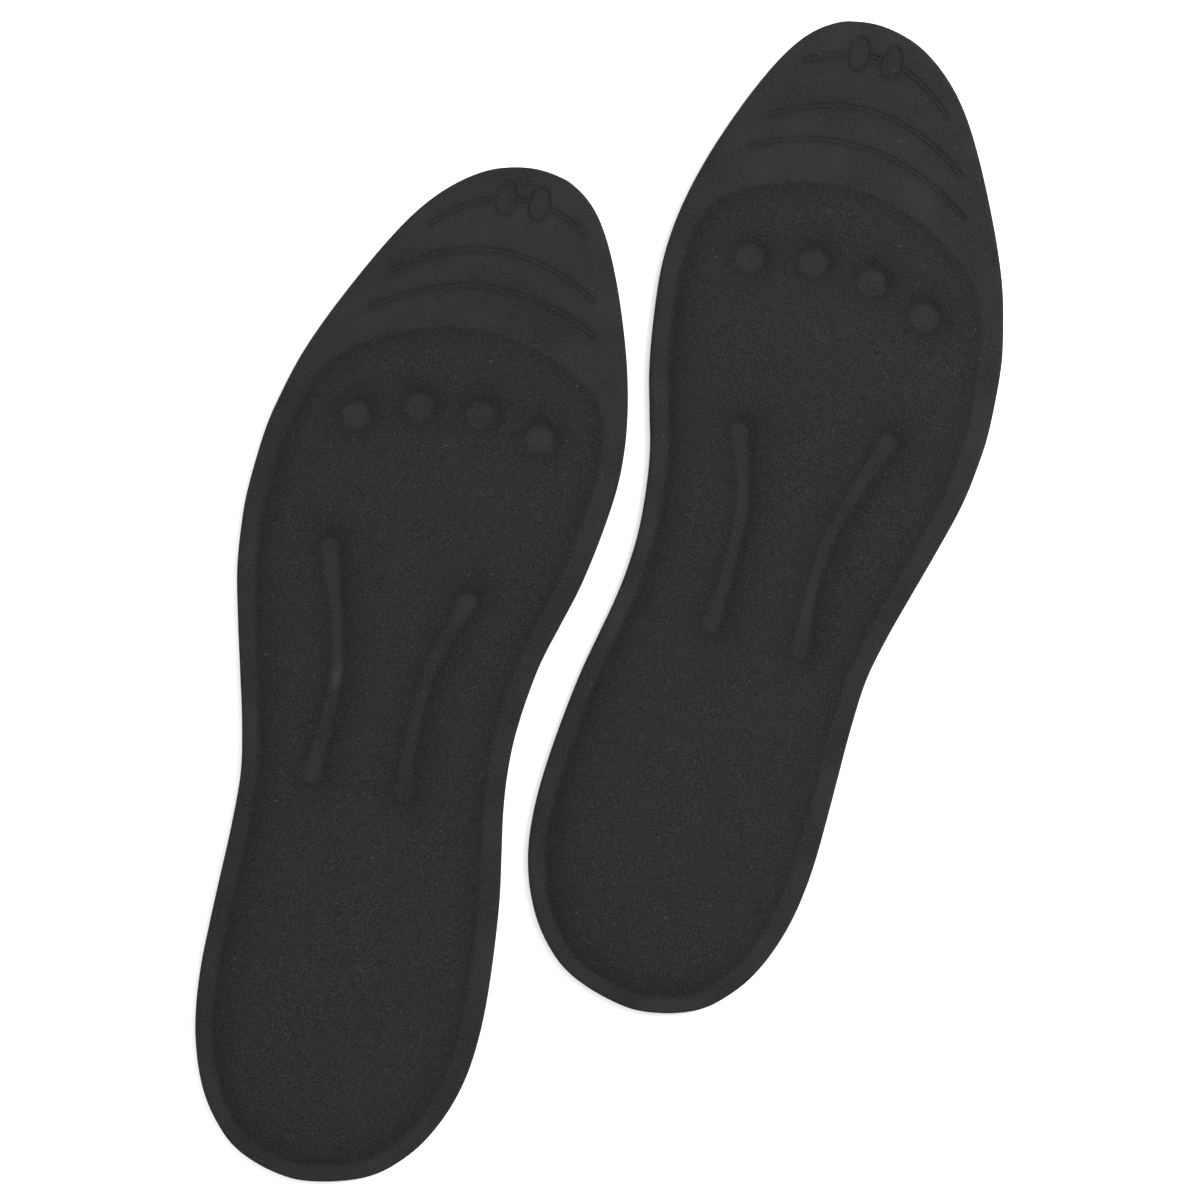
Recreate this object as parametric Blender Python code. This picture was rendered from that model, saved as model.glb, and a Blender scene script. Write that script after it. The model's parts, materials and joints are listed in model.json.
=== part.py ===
"""A pair of liquid-filled cushioned insoles, one left and one right.

Each insole is a laminate: base cover, lower film, liquid, upper film and top cover. The films are
welded together around the rim, in the flat toe zone, at a row of dots under the ball of the foot
and along two bars in the arch, and the covers follow them. Each layer is made in two sections that
meet at the line where the foot bends.

Insole frame: +Y from heel to toe, +X towards the inner side of the foot on the left insole,
+Z up, z = 0 at the underside. The right insole is its mirror image.
"""

import math

import bmesh
import bpy
from mathutils import Matrix, Vector

# Driving dimensions, in metres
INSOLE_LENGTH = 0.285
BALL_WIDTH = 0.1005
FLANGE_WIDTH = 0.0048
TOE_ZONE_LENGTH = 0.0485
BASE_THICKNESS = 0.0009
FILM_THICKNESS = 0.0003
COVER_THICKNESS = 0.0008
BOND_GAP = 0.0002
LIQUID_DEPTH = 0.0030

DOT_RADIUS = 0.0040
DOT_SPACING = 0.0173
DOT_SETBACK = 0.0234
DOT_BOW = 0.0052
DOT_LEAN = math.radians(3.6)
DOT_CENTRE_X = -0.0013

BAR_HALF_WIDTH = 0.0014
BAR_END_HALF_WIDTH = 0.0023
BAR_CENTRE_Y = 0.1370
# Spine of each bar, as (across, along) from the middle of the arch
OUTER_BAR = ((-0.0176, -0.0308), (-0.0165, -0.0120), (-0.0185, 0.0065), (-0.0262, 0.0313))
INNER_BAR = ((0.0078, -0.0305), (0.0072, -0.0140), (0.0086, 0.0050), (0.0145, 0.0236))

GROOVE_WIDTH = 0.0013
GROOVE_DEPTH = 0.0004
# Each trim line: setback of its crest from the toe, half span, bow, lean in degrees, centre across
GROOVES = (
    (0.0101, 0.0217, 0.0087, 7.5, 0.0035),
    (0.0257, 0.0284, 0.0100, 2.3, 0.0026),
    (0.0366, 0.0315, 0.0099, 3.8, 0.0018),
)

FLEX_GAP = 0.0004
PAIR_GAP = 0.0016
PAIR_STAGGER = 0.0415
LEFT_LEAN = math.radians(-11.3)
RIGHT_LEAN = math.radians(-15.8)

# Shape of the trimmed edge: (share of the length, share of the ball width), heel end first,
# up the inner side, round the toe and back down the outer side
EDGE_SHAPE = (
    (0.000, 0.008),
    (0.012, 0.171),
    (0.035, 0.269),
    (0.070, 0.343),
    (0.120, 0.395),
    (0.190, 0.410),
    (0.290, 0.389),
    (0.370, 0.352),
    (0.440, 0.341),
    (0.520, 0.371),
    (0.600, 0.436),
    (0.700, 0.481),
    (0.780, 0.467),
    (0.860, 0.409),
    (0.930, 0.333),
    (0.970, 0.265),
    (0.990, 0.197),
    (0.997, 0.146),
    (1.000, 0.077),
    (0.996, 0.000),
    (0.985, -0.075),
    (0.960, -0.165),
    (0.920, -0.253),
    (0.850, -0.359),
    (0.770, -0.455),
    (0.690, -0.508),
    (0.630, -0.519),
    (0.550, -0.499),
    (0.450, -0.427),
    (0.360, -0.369),
    (0.260, -0.363),
    (0.180, -0.362),
    (0.120, -0.342),
    (0.070, -0.294),
    (0.035, -0.226),
    (0.012, -0.139),
)
EDGE_STEPS = 2
FRONT_CORNER_RADIUS = 0.0070
FRONT_CROWN = 0.0162
FRONT_LEAN = math.radians(1.8)
ROUND_STEPS = 8
CORNER_STEPS = 3
BAR_STEPS = 3
OVERLAP = 0.0003
CLEAR = 0.0100

# Heights, from the bottom layer up
LOWER_FILM_Z = BASE_THICKNESS + BOND_GAP
LIQUID_Z = LOWER_FILM_Z + FILM_THICKNESS + BOND_GAP
COVER_Z = LIQUID_Z + FILM_THICKNESS + BOND_GAP
FLANGE_TOP = COVER_Z + COVER_THICKNESS
LIQUID_TOP = LIQUID_Z + LIQUID_DEPTH
FILM_ROOF = LIQUID_TOP + BOND_GAP
COVER_ROOF = FILM_ROOF + FILM_THICKNESS + BOND_GAP
CHAMBER_TOP = COVER_ROOF + COVER_THICKNESS

# How far each surface lies inside the outer face of the raised chamber
COVER_INNER = COVER_THICKNESS
FILM_OUTER = COVER_INNER + BOND_GAP
FILM_INNER = FILM_OUTER + FILM_THICKNESS
LIQUID_OUTER = FILM_INNER + BOND_GAP

FRONT_Y = INSOLE_LENGTH - TOE_ZONE_LENGTH
DOT_Y = FRONT_Y - DOT_SETBACK
BAR_FRONT_Y = BAR_CENTRE_Y + OUTER_BAR[-1][1] + BAR_END_HALF_WIDTH
FLEX_Y = (BAR_FRONT_Y + DOT_Y - DOT_BOW - DOT_RADIUS) / 2


def clear_scene():
    for obj in list(bpy.data.objects):
        bpy.data.objects.remove(obj, do_unlink=True)


def new_collection(name):
    collection = bpy.data.collections.new(name)
    bpy.context.scene.collection.children.link(collection)
    return collection


def new_material(name, colour, roughness, transmission=0.0):
    material = bpy.data.materials.new(name)
    material.use_nodes = True
    shader = material.node_tree.nodes["Principled BSDF"]
    shader.inputs["Base Color"].default_value = (*colour, 1.0)
    shader.inputs["Roughness"].default_value = roughness
    shader.inputs["Metallic"].default_value = 0.0
    shader.inputs["Transmission Weight"].default_value = transmission
    return material


def smooth_closed(points, steps):
    """Points along a smooth closed curve through the given ones."""
    count = len(points)
    curve = []
    for i in range(count):
        a, b, c, d = (Vector(points[(i + k) % count]) for k in (-1, 0, 1, 2))
        for step in range(steps):
            t = step / steps
            bend = (2 * a - 5 * b + 4 * c - d) * t * t + (3 * b - a - 3 * c + d) * t**3
            curve.append((2 * b + (c - a) * t + bend) / 2)
    return curve


def inset(loop, distance):
    """The closed loop moved inwards, for a loop that runs anticlockwise."""
    count = len(loop)
    moved = []
    for i, point in enumerate(loop):
        along = (loop[(i + 1) % count] - loop[i - 1]).normalized()
        moved.append(point + distance * Vector((-along.y, along.x)))
    return moved


def edge_loop():
    points = [(across * BALL_WIDTH, along * INSOLE_LENGTH) for along, across in EDGE_SHAPE]
    return smooth_closed(points, EDGE_STEPS)


def point_at(side, y):
    """The point of a side, given from heel to toe, at this distance from the heel."""
    for low, high in zip(side, side[1:]):
        if low.y <= y < high.y:
            return low.lerp(high, (y - low.y) / (high.y - low.y))
    return side[-1]


def chamber_loop(depth):
    """Edge of the raised chamber, moved inwards by depth: inside the rim, closed by a bowed front."""
    rim = inset(edge_loop(), FLANGE_WIDTH + depth)
    toe = max(range(len(rim)), key=lambda i: rim[i].y)
    inner_side, outer_side = rim[: toe + 1], rim[:toe:-1]
    corner_y = FRONT_Y - depth - FRONT_CROWN
    rise = math.tan(FRONT_LEAN) * (BALL_WIDTH / 2 - FLANGE_WIDTH - FRONT_CORNER_RADIUS)
    inner = point_at(inner_side, corner_y + rise)
    outer = point_at(outer_side, corner_y - rise)
    middle, half = (inner.x + outer.x) / 2, (inner.x - outer.x) / 2

    def front(x):
        share = (x - middle) / half
        return Vector((x, FRONT_Y - depth - FRONT_CROWN * share * share + rise * share))

    def rounded(before, corner, after):
        shares = [k / CORNER_STEPS for k in range(CORNER_STEPS + 1)]
        return [before.lerp(corner, t).lerp(corner.lerp(after, t), t) for t in shares]

    reach = FRONT_CORNER_RADIUS
    inner_foot = point_at(inner_side, inner.y - reach)
    outer_foot = point_at(outer_side, outer.y - reach)
    ends = (front(inner.x - reach), front(outer.x + reach))
    shares = [k / ROUND_STEPS for k in range(1, ROUND_STEPS)]
    bow = [front(ends[0].x + (ends[1].x - ends[0].x) * share) for share in shares]
    up = [point for point in inner_side if point.y < inner_foot.y - OVERLAP]
    down = [point for point in outer_side if point.y < outer_foot.y - OVERLAP]
    inner_turn = rounded(inner_foot, inner, ends[0])
    outer_turn = rounded(ends[1], outer, outer_foot)
    return up + inner_turn + bow + outer_turn + down[::-1]


def disc_loop(centre, radius):
    angles = [2 * math.pi * (k + 0.5) / ROUND_STEPS for k in range(ROUND_STEPS)]
    return [centre + radius * Vector((math.cos(a), math.sin(a))) for a in angles]


def strip_loop(spine, half_widths):
    """Closed outline around a spine of points, with round ends."""
    left, right = [], []
    for i, point in enumerate(spine):
        along = (spine[min(i + 1, len(spine) - 1)] - spine[max(i - 1, 0)]).normalized()
        across = Vector((-along.y, along.x)) * half_widths[i]
        left.append(point + across)
        right.append(point - across)
    cap_steps = ROUND_STEPS // 2
    caps = []
    for point, side in ((spine[-1], right[-1]), (spine[0], left[0])):
        arm = side - point
        turns = [math.pi * k / cap_steps for k in range(1, cap_steps)]
        caps.append([point + Matrix.Rotation(turn, 2) @ arm for turn in turns])
    return right + caps[0] + left[::-1] + caps[1]


def bow_spine(centre, half_length, bow, steps, turn):
    """Points along a shallow bow through centre, turned from the X axis."""
    spin = Matrix.Rotation(turn, 2)
    shares = [2 * k / steps - 1 for k in range(steps + 1)]
    return [centre + spin @ Vector((s * half_length, bow * (1 - s * s))) for s in shares]


def weld_dots():
    """Centres of the four dots across the ball, on a shallow leaning bow."""
    spin = Matrix.Rotation(DOT_LEAN, 2)
    middle = Vector((DOT_CENTRE_X, DOT_Y))
    offsets = [k - 1.5 for k in range(4)]
    return [middle + spin @ Vector((s * DOT_SPACING, -DOT_BOW * (s / 1.5) ** 2)) for s in offsets]


def smooth_open(points, steps):
    """Points along a smooth curve from the first point to the last."""
    ends = [2 * Vector(points[0]) - Vector(points[1]), 2 * Vector(points[-1]) - Vector(points[-2])]
    curve = smooth_closed([ends[0], *points, ends[1]], steps)
    return curve[steps : steps * len(points) + 1]


def weld_bars():
    """Spine and half widths of the two bars in the arch, which bow towards each other."""
    bars = []
    for shape in (OUTER_BAR, INNER_BAR):
        spine = smooth_open([(x, BAR_CENTRE_Y + y) for x, y in shape], BAR_STEPS)
        last = len(spine) - 1
        shares = [abs(2 * k / last - 1) ** 3 for k in range(last + 1)]
        widen = BAR_END_HALF_WIDTH - BAR_HALF_WIDTH
        bars.append((spine, [BAR_HALF_WIDTH + widen * share for share in shares]))
    return bars


def well_loops(grow):
    """Outlines of the welded dots and bars, widened by grow."""
    loops = [disc_loop(centre, DOT_RADIUS + grow) for centre in weld_dots()]
    for spine, halves in weld_bars():
        loops.append(strip_loop(spine, [half + grow for half in halves]))
    return loops


def groove_loops():
    loops = []
    for setback, half_span, bow, lean, across in GROOVES:
        centre = Vector((across, INSOLE_LENGTH - setback - bow))
        spine = bow_spine(centre, half_span, bow, ROUND_STEPS, math.radians(lean))
        loops.append(strip_loop(spine, [GROOVE_WIDTH / 2] * len(spine)))
    return loops


class Insole:
    """One insole of the pair, with its empties, cutters and layers."""

    def __init__(self, name, mirrored, parts, cutters, materials):
        self.name = name
        self.side = -1 if mirrored else 1
        self.parts = parts
        self.cutters = cutters
        self.materials = materials
        self.seat = self.empty(f"{name}_insole", None, Vector())
        self.hinge = self.empty(f"{name}_flex_axis", self.seat, Vector((0, FLEX_Y, CHAMBER_TOP)))

    def empty(self, name, parent, location):
        marker = bpy.data.objects.new(name, None)
        marker.parent = parent
        marker.location = location
        self.parts.objects.link(marker)
        return marker

    def prism(self, name, loops, bottom, top):
        """A flat outline, with holes where loops lie inside it, from bottom to top, as a mesh."""
        curve = bpy.data.curves.new(name, "CURVE")
        curve.dimensions = "2D"
        curve.fill_mode = "BOTH"
        curve.extrude = (top - bottom) / 2
        for loop in loops:
            spline = curve.splines.new("POLY")
            spline.points.add(len(loop) - 1)
            spline.use_cyclic_u = True
            for point, place in zip(spline.points, loop):
                point.co = (self.side * place.x, place.y, 0.0, 1.0)
        outline = bpy.data.objects.new(name, curve)
        bpy.context.scene.collection.objects.link(outline)
        graph = bpy.context.evaluated_depsgraph_get()
        mesh = bpy.data.meshes.new_from_object(outline.evaluated_get(graph))
        bpy.data.objects.remove(outline)
        bpy.data.curves.remove(curve)
        shape = bmesh.new()
        shape.from_mesh(mesh)
        bmesh.ops.remove_doubles(shape, verts=shape.verts, dist=1e-6)
        bmesh.ops.translate(shape, verts=shape.verts, vec=(0, 0, (top + bottom) / 2))
        bmesh.ops.recalc_face_normals(shape, faces=shape.faces)
        shape.to_mesh(mesh)
        shape.free()
        mesh.name = name
        return mesh

    def place(self, name, mesh, parent):
        obj = bpy.data.objects.new(name, mesh)
        obj.parent = parent
        if parent is self.hinge:
            obj.location = -self.hinge.location
        return obj

    def cutter(self, name, mesh):
        obj = self.place(f"cut_{self.name}_{name}", mesh, self.seat)
        obj.hide_render = True
        obj.display_type = "WIRE"
        self.cutters.objects.link(obj)
        return obj

    def zones(self):
        """Boxes that hold all of the heel section and all of the forefoot section."""
        boxes = {}
        spans = (
            ("heel", -CLEAR, FLEX_Y - FLEX_GAP / 2),
            ("forefoot", FLEX_Y + FLEX_GAP / 2, INSOLE_LENGTH + CLEAR),
        )
        for section, start, end in spans:
            half = BALL_WIDTH / 2 + CLEAR
            loop = [Vector(p) for p in ((-half, start), (half, start), (half, end), (-half, end))]
            mesh = self.prism(f"{self.name}_{section}_zone", [loop], -CLEAR, CHAMBER_TOP + CLEAR)
            boxes[section] = self.cutter(f"{section}_zone", mesh)
        return boxes

    def layer(self, name, material, mesh, steps, zones):
        """Both sections of one layer: the same mesh and cuts, each kept inside its own zone."""
        for section, zone in zones.items():
            parent = self.seat if section == "heel" else self.hinge
            obj = self.place(f"{self.name}_{section}_{name}", mesh.copy(), parent)
            obj.data.materials.append(self.materials[material])
            self.parts.objects.link(obj)
            for operation, tool in (*steps, ("INTERSECT", zone)):
                modifier = obj.modifiers.new(tool.name, "BOOLEAN")
                modifier.operation = operation
                modifier.solver = "EXACT"
                modifier.object = tool

    def raised_layer(self, name, material, bottom, thickness, roof, outer, extra, zones):
        """A sheet that lies flat on the rim and welds and stands up over the liquid."""
        sheet = self.prism(f"{self.name}_{name}", [edge_loop()], bottom, bottom + thickness)
        block = [chamber_loop(outer), *well_loops(outer)]
        hollow = [chamber_loop(outer + thickness), *well_loops(outer + thickness)]
        raised = self.prism(f"{name}_block", block, bottom + OVERLAP / 2, roof + thickness)
        room = self.prism(f"{name}_room", hollow, bottom - OVERLAP, roof)
        steps = [
            ("UNION", self.cutter(f"{name}_block", raised)),
            ("DIFFERENCE", self.cutter(f"{name}_room", room)),
        ]
        self.layer(name, material, sheet, steps + extra, zones)

    def build(self):
        zones = self.zones()
        base = self.prism("base_cover", [edge_loop()], 0.0, BASE_THICKNESS)
        self.layer("base_cover", "base_cover", base, [], zones)
        film_top = LOWER_FILM_Z + FILM_THICKNESS
        film = self.prism("lower_film", [edge_loop()], LOWER_FILM_Z, film_top)
        self.layer("lower_film", "film", film, [], zones)
        pool = [chamber_loop(LIQUID_OUTER), *well_loops(LIQUID_OUTER)]
        liquid = self.prism("liquid", pool, LIQUID_Z, LIQUID_TOP)
        self.layer("liquid", "liquid", liquid, [], zones)
        self.raised_layer(
            "upper_film", "film", LIQUID_Z, FILM_THICKNESS, FILM_ROOF, FILM_OUTER, [], zones
        )
        grooves = []
        for number, loop in enumerate(groove_loops(), 1):
            mesh = self.prism(f"groove_{number}", [loop], FLANGE_TOP - GROOVE_DEPTH, CHAMBER_TOP)
            grooves.append(("DIFFERENCE", self.cutter(f"groove_{number}", mesh)))
        self.raised_layer(
            "top_cover", "top_cover", COVER_Z, COVER_THICKNESS, COVER_ROOF, 0.0, grooves, zones
        )

    def seat_at(self, place, lean):
        self.seat.location = (place.x, place.y, 0.0)
        self.seat.rotation_euler = (0.0, 0.0, lean)

    def outline(self, place, lean):
        spin = Matrix.Rotation(lean, 2)
        return [place + spin @ Vector((self.side * p.x, p.y)) for p in edge_loop()]


def place_pair(left, right):
    """Sets the insoles side by side, leaning, with the middle of the pair's box at the origin."""
    spots = []
    for insole, lean, x, y in (
        (left, LEFT_LEAN, 0.0, 0.0),
        (right, RIGHT_LEAN, BALL_WIDTH + PAIR_GAP, PAIR_STAGGER),
    ):
        middle = Matrix.Rotation(lean, 2) @ Vector((0.0, INSOLE_LENGTH / 2))
        spots.append((insole, lean, Vector((x, y)) - middle))
    points = [point for insole, lean, spot in spots for point in insole.outline(spot, lean)]
    low = Vector((min(p.x for p in points), min(p.y for p in points)))
    high = Vector((max(p.x for p in points), max(p.y for p in points)))
    for insole, lean, spot in spots:
        insole.seat_at(spot - (low + high) / 2, lean)


def main():
    clear_scene()
    parts = new_collection("cushioned_insole_pair")
    cutters = new_collection("cutters")
    materials = {
        "top_cover": new_material("top_cover", (0.028, 0.028, 0.030), 0.95),
        "film": new_material("film", (0.040, 0.042, 0.045), 0.35),
        "liquid": new_material("liquid", (0.62, 0.72, 0.76), 0.05, 0.8),
        "base_cover": new_material("base_cover", (0.020, 0.020, 0.021), 0.80),
    }
    left = Insole("left", False, parts, cutters, materials)
    right = Insole("right", True, parts, cutters, materials)
    for insole in (left, right):
        insole.build()
    place_pair(left, right)
    bpy.context.view_layer.update()


main()
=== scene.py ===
import json
import math

import bmesh
import bpy
import numpy as np
from mathutils import Matrix, Vector, noise
from mathutils.bvhtree import BVHTree
from mathutils.kdtree import KDTree


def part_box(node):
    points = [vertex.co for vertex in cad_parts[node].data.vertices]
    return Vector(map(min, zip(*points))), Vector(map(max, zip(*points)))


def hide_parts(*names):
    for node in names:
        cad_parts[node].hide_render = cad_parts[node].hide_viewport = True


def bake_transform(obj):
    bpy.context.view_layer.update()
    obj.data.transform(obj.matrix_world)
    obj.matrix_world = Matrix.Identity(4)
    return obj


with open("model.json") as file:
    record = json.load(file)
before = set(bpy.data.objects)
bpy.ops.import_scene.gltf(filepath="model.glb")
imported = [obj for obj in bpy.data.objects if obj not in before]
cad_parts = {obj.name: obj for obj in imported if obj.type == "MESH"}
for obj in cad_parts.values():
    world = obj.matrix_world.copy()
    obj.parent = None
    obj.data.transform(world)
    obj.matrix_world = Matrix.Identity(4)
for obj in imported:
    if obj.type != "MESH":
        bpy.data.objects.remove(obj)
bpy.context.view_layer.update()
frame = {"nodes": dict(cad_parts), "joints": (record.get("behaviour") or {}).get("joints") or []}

# Weld pattern of the pouch. Every length here is in metres, and a place is (across, along) from
# the heel end, positive towards the inner side of the foot
RIM_WELD = (0.0042, 0.0049, 0.0049, 0.0059)
RIM_PLACES = (0.000, 0.030, 0.120, 0.200)
TOE_ZONE = 0.0485
FRONT_CROWN = 0.0162
FRONT_CORNER = 0.0060
FRONT_LEAN = math.radians(1.8)
DOT_RADIUS = 0.0038
DOT_SPACING = 0.0173
DOT_SETBACK = 0.0239
DOT_BOW = 0.0052
DOT_LEAN = math.radians(3.6)
DOT_MIDDLE = -0.0013
BAR_HALF_WIDTH = 0.0014
BAR_END_HALF_WIDTH = 0.0024
BAR_MIDDLE_Y = 0.1370
OUTER_BAR = ((-0.0176, -0.0308), (-0.0165, -0.0120), (-0.0185, 0.0065), (-0.0262, 0.0313))
INNER_BAR = ((0.0078, -0.0305), (0.0072, -0.0140), (0.0086, 0.0050), (0.0145, 0.0236))

# Trim lines of the toe zone: setback of the crest, half span, bow, lean in degrees, centre across
TRIM_LINES = (
    (0.0101, 0.0217, 0.0087, 7.5, 0.0035),
    (0.0257, 0.0284, 0.0100, 2.3, 0.0026),
    (0.0366, 0.0315, 0.0099, 3.8, 0.0018),
)
LINE_STEPS = 220
# Each line is two furrows, this far from its middle, this wide and this deep
FURROW_OFFSET = 0.0006
FURROW_WIDTH = 0.00028
FURROW_DEPTH = 0.00035
# Plain ovals pressed on the first line: half width and height, then (across, setback) of each
OVAL_HALVES = (0.0029, 0.0050)
OVAL_PLACES = ((0.0013, 0.0104), (0.0109, 0.0102))
# Rubbed places of each insole: (across, along, half width, half length)
WORN_SPOTS = {"left": ((-0.0166, 0.1335, 0.0012, 0.0036),), "right": ()}

# Heights and thicknesses of the laminate
COVER_THICKNESS = 0.0009
COVER_IN_CAD = 0.0008
FILM_THICKNESS = 0.00038
BACKING_SPARE = 0.00018
BACKING_ROUND = 0.00022
SEAM = 0.00002
LEAST_POOL = 0.0002
RIM_FALL = 0.00035
RIM_FALL_REACH = 0.0008
NAP_STEP = 0.00022
NAP_REACH = 0.0006
RIPPLE_RATE = 45
RIPPLE = 0.00018
FINE_RIPPLE_RATE = 3.1
FINE_RIPPLE = 0.00007
RIPPLE_REACH = 0.012

# How the liquid lifts the cover
PUFF_FRAMES = 18
POUCH_WALL = 0.004
SMOOTHINGS = 4
PUFF_STEEPNESS = 2.2

# How far the pressed band, the painted shade and the fibrous band reach from a weld or a line
PRESS_INSIDE = 0.0014
PRESS_FADE = 0.0021
WALL_FOOT = 0.0010
WALL_SHADE_IN = 0.0008
WALL_SHADE_OUT = 0.0040
LINE_SHADE = 0.85
LINE_SHADE_REACH = 0.0016
CORE_HALF = 0.0002
CORE_FADE = 0.0004
# How unevenly the lines were pressed: lumps per metre, and the share pressed and its swing
UNEVEN_RATE = 420
FURROW_SHARE = 0.85
FURROW_SWING = 0.45
CORE_SHARE = 0.75

# Mesh sizes
COVER_CELL = 0.0019
FILM_CELL = 0.0026
POOL_CELL = 0.0030
EDGE_STEPS = 30
BAR_STEPS = 14
SHEET_WIDTH = 0.095
SHEET_EXTRA = 0.04
HEEL_ROUND = 0.038
TOE_ROUND = 0.036
HAIR = 0.00005

# The stretch that bends, before and after the flex line, and how finely flat layers are cut there
BEND_BEFORE = 0.006
BEND_AFTER = 0.034
BEND_CUTS = 16

LAYERS = ("base_cover", "lower_film", "liquid", "upper_film", "top_cover")
SEEDS = {"left": 3.7, "right": 9.1}


# ---------------------------------------------------------------- plan of one insole


def smooth_closed(points, steps):
    """Points along a smooth closed curve through the given ones."""
    points = np.array(points, float)
    before, after = np.roll(points, 1, axis=0), np.roll(points, -1, axis=0)
    beyond = np.roll(points, -2, axis=0)
    curve = []
    for step in range(steps):
        t = step / steps
        bend = (2 * before - 5 * points + 4 * after - beyond) * t**2
        bend += (3 * points - before - 3 * after + beyond) * t**3
        curve.append((2 * points + (after - before) * t + bend) / 2)
    return np.stack(curve, axis=1).reshape(-1, 2)


def smooth_open(points, steps):
    """Points along a smooth curve from the first of the given ones to the last."""
    points = np.array(points, float)
    before, after = [2 * points[0] - points[1]], [2 * points[-1] - points[-2]]
    curve = smooth_closed(np.concatenate([before, points, after]), steps)
    return curve[steps : steps * len(points) + 1]


def smooth_step(value):
    """From 0 to 1 as the value does, easing in and out."""
    value = np.clip(value, 0.0, 1.0)
    return value * value * (3 - 2 * value)


def round_min(a, b, radius):
    """The smaller of two distances, with the corner between them rounded."""
    share = np.clip(0.5 + 0.5 * (b - a) / radius, 0.0, 1.0)
    return b + (a - b) * share - radius * share * (1 - share)


def seat_of(side):
    """The matrix from one insole's own frame to the pair's: +X inner side, +Y toe, +Z up."""
    joint = next(j for j in frame["joints"] if j["name"] == f"{side}_flex")
    across = Vector(joint["axis"])
    along = Vector((-across.y, across.x, 0.0))
    hinge = Vector(joint["pos_m"])
    heel_node = frame["nodes"][f"{side}_heel_base_cover"]
    heel = min(vertex.co.dot(along) for vertex in heel_node.data.vertices)
    place = hinge - along * (hinge.dot(along) - heel)
    inner = across if side == "left" else -across
    columns = Matrix((inner, along, Vector((0, 0, 1)))).transposed().to_4x4()
    return Matrix.Translation((place.x, place.y, 0.0)) @ columns, hinge


def trimmed_edge(side, seat, hinge):
    """The insole's cut edge in its own frame, as a dense closed loop."""
    back = seat.inverted()
    points = set()
    for section in ("heel", "forefoot"):
        for vertex in frame["nodes"][f"{side}_{section}_base_cover"].data.vertices:
            place = back @ vertex.co
            points.add((round(place.x, 5), round(place.y, 5)))
    flex_y = (back @ hinge).y
    near_flex = 0.001
    points = [p for p in points if abs(p[1] - flex_y) > near_flex]
    heel, toe = min(points, key=lambda p: p[1]), max(points, key=lambda p: p[1])

    def on_inner_side(point):
        share = (point[1] - heel[1]) / (toe[1] - heel[1])
        return point[0] > heel[0] + (toe[0] - heel[0]) * share

    others = [p for p in points if p not in (heel, toe)]
    inner = sorted((p for p in others if on_inner_side(p)), key=lambda p: p[1])
    outer = sorted((p for p in others if not on_inner_side(p)), key=lambda p: -p[1])
    return smooth_closed([heel, *inner, toe, *outer], EDGE_STEPS)


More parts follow.
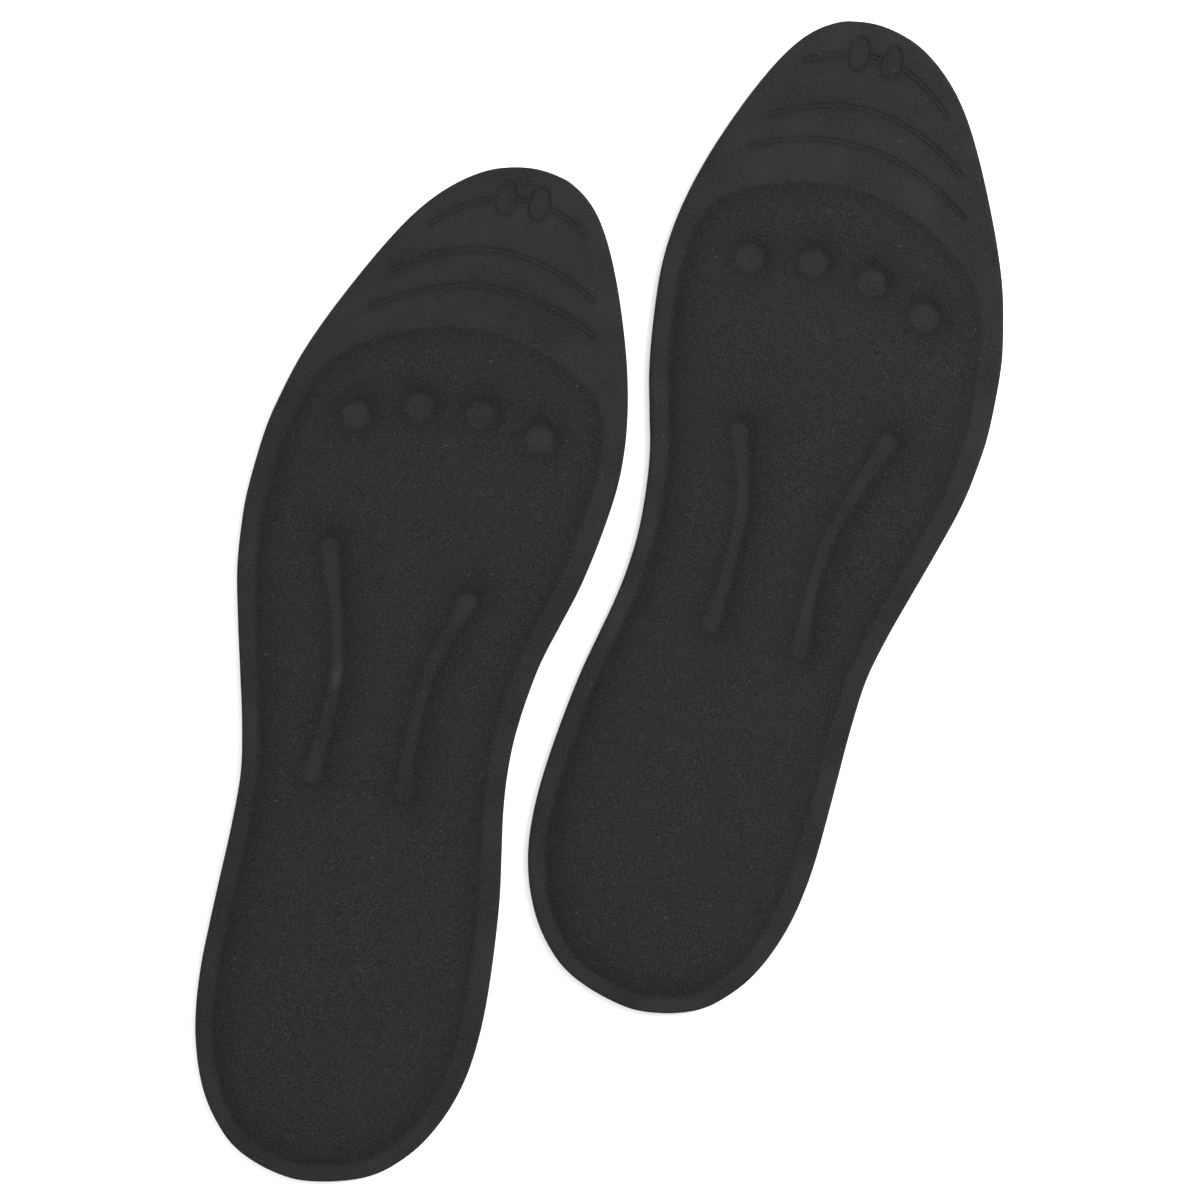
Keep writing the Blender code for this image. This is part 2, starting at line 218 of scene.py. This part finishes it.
class Plan:
    """Distances in the plan of the insole, for arrays of points in its own frame."""

    def __init__(self, edge):
        self.edge = edge
        self.length = edge[:, 1].max()
        run = np.roll(edge, -1, axis=0) - np.roll(edge, 1, axis=0)
        run /= np.linalg.norm(run, axis=1)[:, None]
        self.inward = np.stack([-run[:, 1], run[:, 0]], axis=1)
        self.tree = KDTree(len(edge))
        for i, (x, y) in enumerate(edge):
            self.tree.insert((x, y, 0.0), i)
        self.tree.balance()
        toe, heel = int(edge[:, 1].argmax()), int(edge[:, 1].argmin())
        turned = np.roll(edge, -heel, axis=0)
        top = (toe - heel) % len(edge)
        self.inner_side = turned[: top + 1]
        self.outer_side = np.concatenate([turned[top:], turned[:1]])[::-1]
        left, right = self.sides(self.length - TOE_ZONE - FRONT_CROWN)
        self.front_left = left + RIM_WELD[-1]
        self.front_right = right - RIM_WELD[-1]

    def sides(self, y):
        """Where the outer and the inner cut edge lie across, this far along."""
        return [np.interp(y, side[:, 1], side[:, 0]) for side in (self.outer_side, self.inner_side)]

    def flat_size(self):
        """The outline's width and length, and its area."""
        width = self.edge[:, 0].max() - self.edge[:, 0].min()
        (x, y), (next_x, next_y) = self.edge.T, np.roll(self.edge, -1, axis=0).T
        return (width, self.length), abs((x * next_y - next_x * y).sum()) / 2

    def depth(self, points):
        """How far inside the cut edge each point lies."""
        nearest = [self.tree.find((x, y, 0.0))[1] for x, y in points]
        return ((points - self.edge[nearest]) * self.inward[nearest]).sum(axis=1)

    def front(self, points):
        """How far behind the pouch's bowed front weld each point lies."""
        middle, half = (self.front_left + self.front_right) / 2, (self.front_right - self.front_left) / 2
        share = (points[:, 0] - middle) / half
        line = self.length - TOE_ZONE - FRONT_CROWN * share**2 + math.tan(FRONT_LEAN) * half * share
        slope = -2 * FRONT_CROWN * share / half
        return (line - points[:, 1]) / np.sqrt(1 + slope**2)

    def dots(self):
        """The middles of the four weld dots."""
        lean = np.array(Matrix.Rotation(DOT_LEAN, 2))
        middle = np.array((DOT_MIDDLE, self.length - TOE_ZONE - DOT_SETBACK))
        offsets = [k - 1.5 for k in range(4)]
        rows = [(k * DOT_SPACING, -DOT_BOW * (k / 1.5) ** 2) for k in offsets]
        return [middle + lean @ np.array(row) for row in rows]

    def clearance(self, points):
        """How far outside the welds each point lies: above 0 where the pouch is free to rise."""
        rim = self.depth(points) - np.interp(points[:, 1], RIM_PLACES, RIM_WELD)
        free = round_min(rim, self.front(points), FRONT_CORNER)
        for dot in self.dots():
            free = np.minimum(free, np.linalg.norm(points - dot, axis=1) - DOT_RADIUS)
        for shape in (OUTER_BAR, INNER_BAR):
            spine = smooth_open(shape, BAR_STEPS) + (0.0, BAR_MIDDLE_Y)
            shares = np.abs(np.linspace(-1, 1, len(spine))) ** 3
            halves = BAR_HALF_WIDTH + (BAR_END_HALF_WIDTH - BAR_HALF_WIDTH) * shares
            for place, half in zip(spine, halves):
                free = np.minimum(free, np.linalg.norm(points - place, axis=1) - half)
        return free

    def line_gap(self, points):
        """Distance to the middle of the nearest trim line; an oval's outline is one furrow."""
        gap = np.full(len(points), 1.0)
        for setback, half_span, bow, lean, across in TRIM_LINES:
            turn = np.array(Matrix.Rotation(math.radians(lean), 2))
            middle = np.array((across, self.length - setback - bow))
            for share in np.linspace(-1, 1, LINE_STEPS):
                place = middle + turn @ np.array((share * half_span, bow * (1 - share**2)))
                gap = np.minimum(gap, np.linalg.norm(points - place, axis=1))
        for across, setback in OVAL_PLACES:
            reach = (points - (across, self.length - setback)) / OVAL_HALVES
            outline = (np.linalg.norm(reach, axis=1) - 1) * OVAL_HALVES[0]
            ring = FURROW_OFFSET + np.abs(outline)
            gap = np.where(outline < FURROW_OFFSET, ring, gap)
        return gap


# ---------------------------------------------------------------- sheets


def flat_places(bm):
    """The points of a mesh, seen from above."""
    return np.array([vertex.co.xy for vertex in bm.verts])


def along_edge(share, length):
    """Rows crowd together round the heel and the toe, as if they were laid along the edge."""
    heel, toe = HEEL_ROUND * math.pi / 2, TOE_ROUND * math.pi / 2
    straight = length - HEEL_ROUND - TOE_ROUND
    s = share * (heel + straight + toe)
    if s < heel:
        return HEEL_ROUND * (1 - math.cos(s / HEEL_ROUND))
    if s > heel + straight:
        return length - TOE_ROUND * (1 - math.cos((heel + straight + toe - s) / TOE_ROUND))
    return HEEL_ROUND + s - heel


def sole_grid(plan, cell):
    """A flat sheet of squares, stretched to the cut edge."""
    columns = round(SHEET_WIDTH / cell)
    rows = round((plan.length + SHEET_EXTRA) / cell)
    bm = bmesh.new()
    bmesh.ops.create_grid(bm, x_segments=columns, y_segments=rows, size=1.0)
    for vertex in bm.verts:
        y = along_edge((vertex.co.y + 1) / 2, plan.length)
        left, right = plan.sides(y)
        vertex.co.x = left + (right - left) * (vertex.co.x + 1) / 2
        vertex.co.y = y
    bmesh.ops.remove_doubles(bm, verts=bm.verts, dist=HAIR)
    return bm


def refine(bm, measure, reach, size, passes):
    """Splits the edges that lie near a line, where measure is near zero, until they are small."""
    for _ in range(passes):
        bm.verts.index_update()
        near = np.abs(measure(flat_places(bm))) < reach
        long_edges = [
            edge
            for edge in bm.edges
            if (near[edge.verts[0].index] or near[edge.verts[1].index]) and edge.calc_length() > size
        ]
        bmesh.ops.subdivide_edges(bm, edges=long_edges, cuts=1, use_grid_fill=True)
    bmesh.ops.triangulate(bm, faces=[face for face in bm.faces if len(face.verts) > 4])


def puffed(bm, plan):
    """How high the liquid lifts each point: cloth held at the welds and blown up from below."""
    places = flat_places(bm)
    free = plan.clearance(places)
    pouch = bm.copy()
    count = len(pouch.verts)
    rim = [edge for edge in pouch.edges if edge.is_boundary]
    wall = bmesh.ops.extrude_edge_only(pouch, edges=rim)["geom"]
    low = [item for item in wall if isinstance(item, bmesh.types.BMVert)]
    bmesh.ops.translate(pouch, verts=low, vec=(0, 0, -POUCH_WALL))
    floor = [edge for edge in pouch.edges if edge.is_boundary]
    bmesh.ops.holes_fill(pouch, edges=floor, sides=0)
    bmesh.ops.recalc_face_normals(pouch, faces=pouch.faces)
    mesh = bpy.data.meshes.new("pouch")
    pouch.to_mesh(mesh)
    pouch.free()
    obj = bpy.data.objects.new("pouch", mesh)
    bpy.context.scene.collection.objects.link(obj)
    held = obj.vertex_groups.new(name="held")
    pinned = [i for i in range(count) if free[i] <= 0]
    held.add(pinned + list(range(count, len(mesh.vertices))), 1.0, "REPLACE")
    cloth = obj.modifiers.new("liquid_pressure", "CLOTH")
    cloth.settings.quality = 5
    cloth.settings.mass = 0.02
    cloth.settings.air_damping = 2.0
    cloth.settings.tension_stiffness = 12
    cloth.settings.compression_stiffness = 12
    cloth.settings.shear_stiffness = 6
    cloth.settings.bending_stiffness = 0.3
    cloth.settings.use_pressure = True
    cloth.settings.uniform_pressure_force = 6.0
    cloth.settings.vertex_group_mass = "held"
    cloth.settings.effector_weights.gravity = 0.0
    cloth.point_cache.frame_start = 1
    cloth.point_cache.frame_end = PUFF_FRAMES
    for step in range(1, PUFF_FRAMES + 1):
        bpy.context.scene.frame_set(step)
    graph = bpy.context.evaluated_depsgraph_get()
    blown = obj.evaluated_get(graph).data
    rise = np.array([blown.vertices[i].co.z for i in range(count)])
    bpy.data.objects.remove(obj)
    bpy.context.scene.frame_set(1)
    return rise


def new_piece(name, bm, seat, mirrored, material):
    """Turns the finished shape into an object whose place is in its mesh."""
    bmesh.ops.transform(bm, matrix=seat, verts=bm.verts)
    if mirrored:
        bmesh.ops.reverse_faces(bm, faces=bm.faces)
    mesh = bpy.data.meshes.new(name)
    bm.to_mesh(mesh)
    bm.free()
    mesh.shade_smooth()
    mesh.materials.append(material)
    obj = bpy.data.objects.new(name, mesh)
    bpy.context.scene.collection.objects.link(obj)
    return obj


# ---------------------------------------------------------------- materials


class Finish:
    """A procedural material, with short ways to add and join its nodes."""

    def __init__(self, name):
        self.material = bpy.data.materials.new(name)
        self.material.use_nodes = True
        self.tree = self.material.node_tree
        self.shader = self.tree.nodes["Principled BSDF"]
        self.place = self.tree.nodes.new("ShaderNodeTexCoord").outputs["Object"]

    def node(self, kind, **values):
        """A new node with these settings."""
        node = self.tree.nodes.new(kind)
        for key, value in values.items():
            setattr(node, key, value)
        return node

    def join(self, output, socket):
        self.tree.links.new(output, socket)

    def grain(self, size, detail=2.0, roughness=0.5, distortion=0.0):
        """Noise whose lumps are about size metres across."""
        node = self.node("ShaderNodeTexNoise")
        self.join(self.place, node.inputs["Vector"])
        node.inputs["Scale"].default_value = 1.0 / size
        node.inputs["Detail"].default_value = detail
        node.inputs["Roughness"].default_value = roughness
        node.inputs["Distortion"].default_value = distortion
        return node.outputs["Fac"]

    def ramp(self, source, low, high, start=0.0, end=1.0):
        """The source's values from low to high, spread from start to end."""
        node = self.node("ShaderNodeMapRange")
        self.join(source, node.inputs["Value"])
        node.inputs["From Min"].default_value = low
        node.inputs["From Max"].default_value = high
        node.inputs["To Min"].default_value = start
        node.inputs["To Max"].default_value = end
        return node.outputs["Result"]

    def blend(self, share, first, second):
        """A mix of two colours, each a tuple or another node's colour."""
        node = self.node("ShaderNodeMix", data_type="RGBA")
        self.join(share, node.inputs["Factor"])
        for socket, value in ((node.inputs[6], first), (node.inputs[7], second)):
            if isinstance(value, tuple):
                socket.default_value = (*value, 1.0)
            else:
                self.join(value, socket)
        return node.outputs[2]

    def maths(self, operation, first, second):
        node = self.node("ShaderNodeMath", operation=operation)
        for socket, value in ((node.inputs[0], first), (node.inputs[1], second)):
            if isinstance(value, (int, float)):
                socket.default_value = value
            else:
                self.join(value, socket)
        return node.outputs[0]

    def attribute(self, name):
        return self.node("ShaderNodeAttribute", attribute_name=name).outputs["Fac"]

    def bump(self, height, distance, strength):
        node = self.node("ShaderNodeBump")
        node.inputs["Distance"].default_value = distance
        node.inputs["Strength"].default_value = strength
        self.join(height, node.inputs["Height"])
        return node.outputs["Normal"]


class Pile:
    """The fabric's fibres at each scale, shared by its free and its pressed places."""

    def __init__(self, finish):
        self.fibre = finish.grain(0.00048, 4.0, 0.75)
        self.fuzz = finish.grain(0.00026, 2.0, 0.6)
        self.tufts = finish.grain(0.0016, 2.0, 0.55)
        self.clouds = finish.grain(0.016, 2.0, 0.5)


def free_pile(finish, pile):
    """Fibres that stand up: dark between them, pale at their tips, a little tufted and clouded."""
    gaps, fibres, tips = (0.0001, 0.0001, 0.0003), (0.0172, 0.0172, 0.0188), (0.0385, 0.0385, 0.0410)
    tufts, clouds = (0.0160, 0.0160, 0.0175), (0.0155, 0.0155, 0.0169)
    colour = finish.blend(finish.ramp(pile.fibre, 0.33, 0.67), gaps, fibres)
    colour = finish.blend(finish.ramp(pile.fuzz, 0.48, 0.68, 0.0, 0.92), colour, tips)
    colour = finish.blend(finish.ramp(pile.tufts, 0.35, 0.7, 0.0, 0.28), colour, tufts)
    return finish.blend(finish.ramp(pile.clouds, 0.35, 0.7, 0.0, 0.28), colour, clouds)


def ironed_pile(finish, pile):
    """Fibres that the welding press laid flat: smoother and a little paler."""
    gaps, fibres, tips = (0.0003, 0.0003, 0.0008), (0.0180, 0.0180, 0.0197), (0.0340, 0.0340, 0.0364)
    clouds = (0.0205, 0.0205, 0.0222)
    colour = finish.blend(finish.ramp(pile.fibre, 0.3, 0.7), gaps, fibres)
    colour = finish.blend(finish.ramp(pile.fuzz, 0.48, 0.69, 0.0, 0.68), colour, tips)
    return finish.blend(finish.ramp(pile.clouds, 0.36, 0.66, 0.0, 0.42), colour, clouds)


def marked(finish, pile, colour):
    """Adds the fibrous trim lines, the rubbed places, painted shade by the welds and in the trim lines, and
    specks of lint.
    """
    fibrous, rubbed = (0.0205, 0.0205, 0.0222), (0.0350, 0.0350, 0.0390)
    painted_shade_colour, lint = (0.0, 0.0, 0.0), (0.055, 0.055, 0.058)
    strands = finish.ramp(finish.grain(0.0006, 3.0, 0.7), 0.42, 0.58)
    colour = finish.blend(finish.maths("MULTIPLY", strands, finish.attribute("core")), colour, fibrous)
    bare = finish.ramp(pile.fibre, 0.40, 0.62)
    colour = finish.blend(finish.maths("MULTIPLY", bare, finish.attribute("worn")), colour, rubbed)
    # painted shade: the colour is darkened towards black, by up to 0.26, by the welds and in the trim lines
    colour = finish.blend(finish.ramp(finish.attribute("painted_shade"), 0.0, 1.0, 0.0, 0.26), colour, painted_shade_colour)
    specks = finish.ramp(finish.grain(0.0010, 1.0, 0.4), 0.75, 0.775, 0.0, 0.5)
    return finish.blend(specks, colour, lint)


def napped_cover():
    """Brushed black fabric: soft and dark where it is free, ironed smooth and paler at the welds."""
    finish = Finish("napped_cover")
    shader = finish.shader
    pressed = finish.attribute("pressed")
    pile = Pile(finish)
    colour = finish.blend(pressed, free_pile(finish, pile), ironed_pile(finish, pile))
    finish.join(marked(finish, pile, colour), shader.inputs["Base Color"])
    finish.join(finish.ramp(pressed, 0.0, 1.0, 0.96, 0.80), shader.inputs["Roughness"])
    shader.inputs["Specular IOR Level"].default_value = 0.06
    shader.inputs["Sheen Weight"].default_value = 0.02
    shader.inputs["Sheen Roughness"].default_value = 0.5
    height = finish.maths("ADD", pile.fibre, finish.maths("MULTIPLY", pile.tufts, 0.8))
    softness = finish.ramp(pressed, 0.0, 1.0, 1.0, 0.35)
    height = finish.maths("MULTIPLY", height, softness)
    finish.join(finish.bump(height, 0.00040, 0.8), shader.inputs["Normal"])
    return finish.material


def pouch_film():
    """Thin satin plastic film, a little uneven from the welding press."""
    finish = Finish("pouch_film")
    shader = finish.shader
    sweep = finish.grain(0.012, 2.0, 0.5)
    dim, bright = (0.030, 0.032, 0.035), (0.048, 0.050, 0.054)
    finish.join(finish.blend(sweep, dim, bright), shader.inputs["Base Color"])
    finish.join(finish.ramp(sweep, 0.3, 0.7, 0.28, 0.42), shader.inputs["Roughness"])
    finish.join(finish.bump(finish.grain(0.002, 2.0), 0.00005, 0.4), shader.inputs["Normal"])
    return finish.material


def thick_liquid():
    """Clear thick liquid with a faint cool tint and slow swirls."""
    finish = Finish("thick_liquid")
    shader = finish.shader
    swirl = finish.grain(0.02, 2.0, 0.5, 1.2)
    deep, thin = (0.58, 0.69, 0.74), (0.68, 0.77, 0.80)
    finish.join(finish.blend(swirl, deep, thin), shader.inputs["Base Color"])
    finish.join(finish.ramp(swirl, 0.3, 0.7, 0.03, 0.08), shader.inputs["Roughness"])
    shader.inputs["Transmission Weight"].default_value = 0.8
    shader.inputs["IOR"].default_value = 1.47
    return finish.material


def grip_backing():
    """Fine black knitted backing, in rows of small loops."""
    finish = Finish("grip_backing")
    shader = finish.shader
    courses = finish.node("ShaderNodeTexWave", wave_type="BANDS", bands_direction="Y")
    wales = finish.node("ShaderNodeTexWave", wave_type="BANDS", bands_direction="X")
    period_at_scale_one = 0.314
    for node, pitch in ((courses, 0.0009), (wales, 0.0007)):
        finish.join(finish.place, node.inputs["Vector"])
        node.inputs["Scale"].default_value = period_at_scale_one / pitch
        node.inputs["Distortion"].default_value = 0.6
    loops = finish.maths("MULTIPLY", courses.outputs["Fac"], wales.outputs["Fac"])
    fuzz = finish.grain(0.0005, 2.0)
    height = finish.maths("ADD", loops, finish.maths("MULTIPLY", fuzz, 0.4))
    between, on_loops = (0.012, 0.012, 0.013), (0.034, 0.034, 0.036)
    finish.join(finish.blend(height, between, on_loops), shader.inputs["Base Color"])
    finish.join(finish.ramp(fuzz, 0.3, 0.7, 0.78, 0.92), shader.inputs["Roughness"])
    finish.join(finish.bump(height, 0.0002, 0.7), shader.inputs["Normal"])
    return finish.material


def plain_floor():
    """Matt white paper, barely uneven."""
    finish = Finish("plain_floor")
    shader = finish.shader
    paper, pale_paper = (0.93, 0.93, 0.93), (0.95, 0.95, 0.95)
    finish.join(finish.blend(finish.grain(0.3, 1.0), paper, pale_paper), shader.inputs["Base Color"])
    shader.inputs["Roughness"].default_value = 0.9
    shader.inputs["Specular IOR Level"].default_value = 0.1
    return finish.material


# ---------------------------------------------------------------- the pieces


def cover_sheet(plan):
    """The top cover's upper face, with how far the liquid lifts it kept in z."""
    bm = sole_grid(plan, COVER_CELL)
    refine(bm, plan.clearance, reach=0.0016, size=0.0011, passes=1)
    for vertex, height in zip(bm.verts, puffed(bm, plan)):
        vertex.co.z = height
    refine(bm, plan.clearance, reach=0.0010, size=0.0006, passes=1)
    refine(bm, plan.depth, reach=0.0009, size=0.0008, passes=1)
    refine(bm, plan.line_gap, reach=0.0015, size=0.0003, passes=3)
    free = [v for v, gap in zip(bm.verts, plan.clearance(flat_places(bm))) if gap > NAP_REACH]
    for _ in range(SMOOTHINGS):
        bmesh.ops.smooth_vert(bm, verts=free, factor=0.5, use_axis_z=True)
    return bm


class Heights:
    """Levels of the laminate, read from the CAD pieces."""

    def __init__(self):
        self.base_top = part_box("left_heel_base_cover")[1].z + BACKING_SPARE
        self.rim_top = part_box("left_forefoot_top_cover")[0].z + COVER_IN_CAD
        self.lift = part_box("left_heel_top_cover")[1].z - self.rim_top


def cover_marks(places, plan, side, seed):
    """How much each point is pressed, darkened by painted shade, rubbed, and in a line's furrows or its
    fibrous middle.
    """
    free = plan.clearance(places)
    gap = plan.line_gap(places)
    spots = [Vector((x * UNEVEN_RATE, y * UNEVEN_RATE, seed)) for x, y in places]
    uneven = np.array([noise.noise(spot) for spot in spots])
    furrow = np.exp(-(((gap - FURROW_OFFSET) / FURROW_WIDTH) ** 2)) * (FURROW_SHARE + FURROW_SWING * uneven)
    core = (1 - smooth_step((gap - CORE_HALF) / CORE_FADE)) * np.clip(CORE_SHARE + uneven, 0, 1)
    # painted shade along the welds: darkest at the foot of the pouch's wall, fading inwards and outwards
    foot = free - WALL_FOOT
    outside = np.exp(-np.clip(foot, 0, None) / WALL_SHADE_OUT)
    wall = np.where(foot > 0, outside, np.exp(-((foot / WALL_SHADE_IN) ** 2)))
    # painted shade in and beside the trim lines' furrows
    line = LINE_SHADE * np.maximum(furrow, np.exp(-((gap / LINE_SHADE_REACH) ** 2)))
    worn = np.zeros(len(places))
    for across, along, *halves in WORN_SPOTS[side]:
        reach = np.linalg.norm((places - (across, along)) / halves, axis=1)
        worn = np.maximum(worn, np.exp(-(reach**2)))
    return {
        "pressed": 1 - smooth_step((free + PRESS_INSIDE) / PRESS_FADE),
        # painted shade by the welds and in the trim lines
        "painted_shade": np.maximum(wall, line),
        "worn": worn,
        "core": core,
        "furrow": furrow,
    }


def shaped_cover(sheet, plan, levels, side, seed):
    """The upper face at its real heights: the puff, the nap, the pressed lines and the rounded cut edge."""
    bm = sheet.copy()
    places = flat_places(bm)
    free = plan.clearance(places)
    marks = cover_marks(places, plan, side, seed)
    rise = np.array([vertex.co.z for vertex in bm.verts])
    nearly_highest = np.percentile(rise, 99.0)
    puff = 1 - np.exp(-rise / nearly_highest * PUFF_STEEPNESS)
    puff /= puff.max()
    nap = NAP_STEP * smooth_step(free / NAP_REACH)
    slack = np.clip(free / RIPPLE_REACH, 0, 1)
    fall = RIM_FALL * (1 - smooth_step(plan.depth(places) / RIM_FALL_REACH))
    for i, vertex in enumerate(bm.verts):
        spot = Vector((vertex.co.x * RIPPLE_RATE, vertex.co.y * RIPPLE_RATE, seed))
        ripple = noise.noise(spot) * RIPPLE + noise.noise(spot * FINE_RIPPLE_RATE) * FINE_RIPPLE
        height = levels.rim_top + nap[i] + (levels.lift - NAP_STEP) * puff[i]
        height += ripple * slack[i] - FURROW_DEPTH * marks["furrow"][i]
        vertex.co.z = height - fall[i]
    for name in ("pressed", "worn", "core", "painted_shade"):
        layer = bm.verts.layers.float.new(name)
        for vertex, share in zip(bm.verts, marks[name]):
            vertex[layer] = share
    return bm


def closed_sheet(bm, thickness):
    """Gives a sheet its thickness, straight down, with closed sides."""
    top = list(bm.faces)
    made = bmesh.ops.extrude_face_region(bm, geom=top, use_keep_orig=True)["geom"]
    under = [item for item in made if isinstance(item, bmesh.types.BMVert)]
    bmesh.ops.translate(bm, verts=under, vec=(0, 0, -thickness))
    bmesh.ops.recalc_face_normals(bm, faces=bm.faces)
    return bm


def lowered_sheet(plan, upper, cell, drop):
    """A coarser sheet that lies the given depth under the cover's upper face."""
    bm = sole_grid(plan, cell)
    refine(bm, plan.clearance, reach=0.0012, size=0.0012, passes=1)
    middle_y, inset_x, inset_y = 0.142, 0.999, 0.9995
    for vertex in bm.verts:
        x, y = vertex.co.x * inset_x, middle_y + (vertex.co.y - middle_y) * inset_y
        hit = upper.ray_cast(Vector((x, y, 1.0)), Vector((0, 0, -1)))[0]
        vertex.co.z = hit.z - drop
    return bm


def flat_sheet(plan, bottom, top, flex_y, rounding):
    """A flat plate cut to the edge, with cuts across it where it bends."""
    bm = bmesh.new()
    every = 5
    face = bm.faces.new([bm.verts.new((x, y, bottom)) for x, y in plan.edge[::every]])
    made = bmesh.ops.extrude_face_region(bm, geom=[face], use_keep_orig=True)["geom"]
    raised = [item for item in made if isinstance(item, bmesh.types.BMVert)]
    bmesh.ops.translate(bm, verts=raised, vec=(0, 0, top - bottom))
    bmesh.ops.recalc_face_normals(bm, faces=bm.faces)
    if rounding:
        level = 1e-6
        rims = [e for e in bm.edges if abs(e.verts[0].co.z - e.verts[1].co.z) < level]
        bmesh.ops.bevel(
            bm, geom=rims, offset=rounding, segments=2, profile=0.5, affect="EDGES", material=-1
        )
    for k in range(BEND_CUTS + 1):
        y = flex_y - BEND_BEFORE + (BEND_BEFORE + BEND_AFTER) * k / BEND_CUTS
        whole = list(bm.verts) + list(bm.edges) + list(bm.faces)
        bmesh.ops.bisect_plane(bm, geom=whole, plane_co=(0, y, 0), plane_no=(0, 1, 0))
    return bm


def liquid_pool(plan, upper, bottom, drop):
    """The pool of liquid: under the free part of the pouch, flat below and following it above."""
    bm = sole_grid(plan, POOL_CELL)
    refine(bm, plan.clearance, reach=0.0018, size=0.0016, passes=1)
    free = plan.clearance(flat_places(bm))
    bm.verts.index_update()
    shore = 0.0009
    outside = [face for face in bm.faces if min(free[v.index] for v in face.verts) < shore]
    bmesh.ops.delete(bm, geom=outside, context="FACES")
    for vertex in bm.verts:
        hit = upper.ray_cast(Vector((vertex.co.x, vertex.co.y, 1.0)), Vector((0, 0, -1)))[0]
        vertex.co.z = max(hit.z - drop, bottom + LEAST_POOL)
    made = bmesh.ops.extrude_face_region(bm, geom=list(bm.faces), use_keep_orig=True)["geom"]
    for item in made:
        if isinstance(item, bmesh.types.BMVert):
            item.co.z = bottom
    bmesh.ops.recalc_face_normals(bm, faces=bm.faces)
    return bm


def layer_shapes(plan, sheet, levels, side, flex_y):
    """The five layers of one insole in its own frame, each resting a hair above the next."""
    upper = shaped_cover(sheet, plan, levels, side, SEEDS[side])
    surface = BVHTree.FromBMesh(upper)
    film_drop = COVER_THICKNESS + SEAM
    film_bottom = levels.base_top + SEAM
    film_top = film_bottom + FILM_THICKNESS
    pool_drop = film_drop + FILM_THICKNESS + SEAM
    film = lowered_sheet(plan, surface, FILM_CELL, film_drop)
    return {
        "liquid": liquid_pool(plan, surface, film_top + SEAM, pool_drop),
        "lower_film": flat_sheet(plan, film_bottom, film_top, flex_y, rounding=0.0),
        "base_cover": flat_sheet(plan, 0.0, levels.base_top, flex_y, rounding=BACKING_ROUND),
        "top_cover": closed_sheet(upper, COVER_THICKNESS),
        "upper_film": closed_sheet(film, FILM_THICKNESS),
    }


def build_insole(side, sheet, plan, levels, finishes):
    """One insole: its layers built and placed, and the CAD pieces they stand for hidden."""
    seat, hinge = seat_of(side)
    shapes = layer_shapes(plan, sheet, levels, side, (seat.inverted() @ hinge).y)
    for layer in LAYERS:
        piece = new_piece(f"{side}_{layer}", shapes[layer], seat, side == "right", finishes[layer])
        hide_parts(f"{side}_heel_{layer}", f"{side}_forefoot_{layer}")
        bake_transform(piece)
    flat, area = plan.flat_size()


# ---------------------------------------------------------------- stage


def build_stage():
    """The white surface that the pair lies on."""
    half_side, drop = 4.0, 0.00004
    bm = bmesh.new()
    bmesh.ops.create_grid(bm, x_segments=2, y_segments=2, size=half_side)
    bmesh.ops.translate(bm, verts=bm.verts, vec=(0, 0, -drop))
    mesh = bpy.data.meshes.new("floor")
    bm.to_mesh(mesh)
    bm.free()
    mesh.materials.append(plain_floor())
    floor = bpy.data.objects.new("floor", mesh)
    bpy.context.scene.collection.objects.link(floor)


def area_light(name, place, size, power):
    """A round lamp that faces the middle of the pair."""
    lamp = bpy.data.lights.new(name, "AREA")
    lamp.shape = "DISK"
    lamp.size = size
    lamp.energy = power
    obj = bpy.data.objects.new(name, lamp)
    obj.location = place
    obj.rotation_euler = (-Vector(place)).to_track_quat("-Z", "Y").to_euler()
    bpy.context.scene.collection.objects.link(obj)


def light_stage():
    """A white room, a soft lamp overhead and a firmer one from the right."""
    world = bpy.data.worlds.new("studio")
    world.use_nodes = True
    room = world.node_tree.nodes["Background"]
    room.inputs["Color"].default_value = (1, 1, 1, 1)
    room.inputs["Strength"].default_value = 1.06
    bpy.context.scene.world = world
    area_light("overhead", place=(0.0, 0.0, 1.2), size=0.8, power=3.2)
    area_light("key", place=(0.75, 0.42, 0.98), size=0.40, power=17.5)
    bpy.context.scene.view_settings.view_transform = "Standard"


def add_camera():
    """Looks almost straight down on the pair, from a little towards the heels."""
    distance = 0.496
    view_width = 0.3306
    tilt = math.radians(6.3)
    aim = Vector((-0.0022, -0.0054, 0.003))
    data = bpy.data.cameras.new("camera")
    data.sensor_width = 36.0
    data.lens = data.sensor_width * distance / view_width
    data.clip_start = 0.01
    camera = bpy.data.objects.new("camera", data)
    camera.location = aim + distance * Vector((0.0, -math.sin(tilt), math.cos(tilt)))
    camera.rotation_euler = (tilt, 0.0, 0.0)
    bpy.context.scene.collection.objects.link(camera)
    bpy.context.scene.camera = camera


def main():
    """Both insoles are made from the left one's plan; the right one's seat mirrors it."""
    plan = Plan(trimmed_edge("left", *seat_of("left")))
    levels = Heights()
    finishes = {
        "top_cover": napped_cover(),
        "upper_film": pouch_film(),
        "liquid": thick_liquid(),
        "base_cover": grip_backing(),
    }
    finishes["lower_film"] = finishes["upper_film"]
    sheet = cover_sheet(plan)
    build_stage()
    for side in SEEDS:
        build_insole(side, sheet, plan, levels, finishes)
    sheet.free()
    light_stage()
    add_camera()


main()
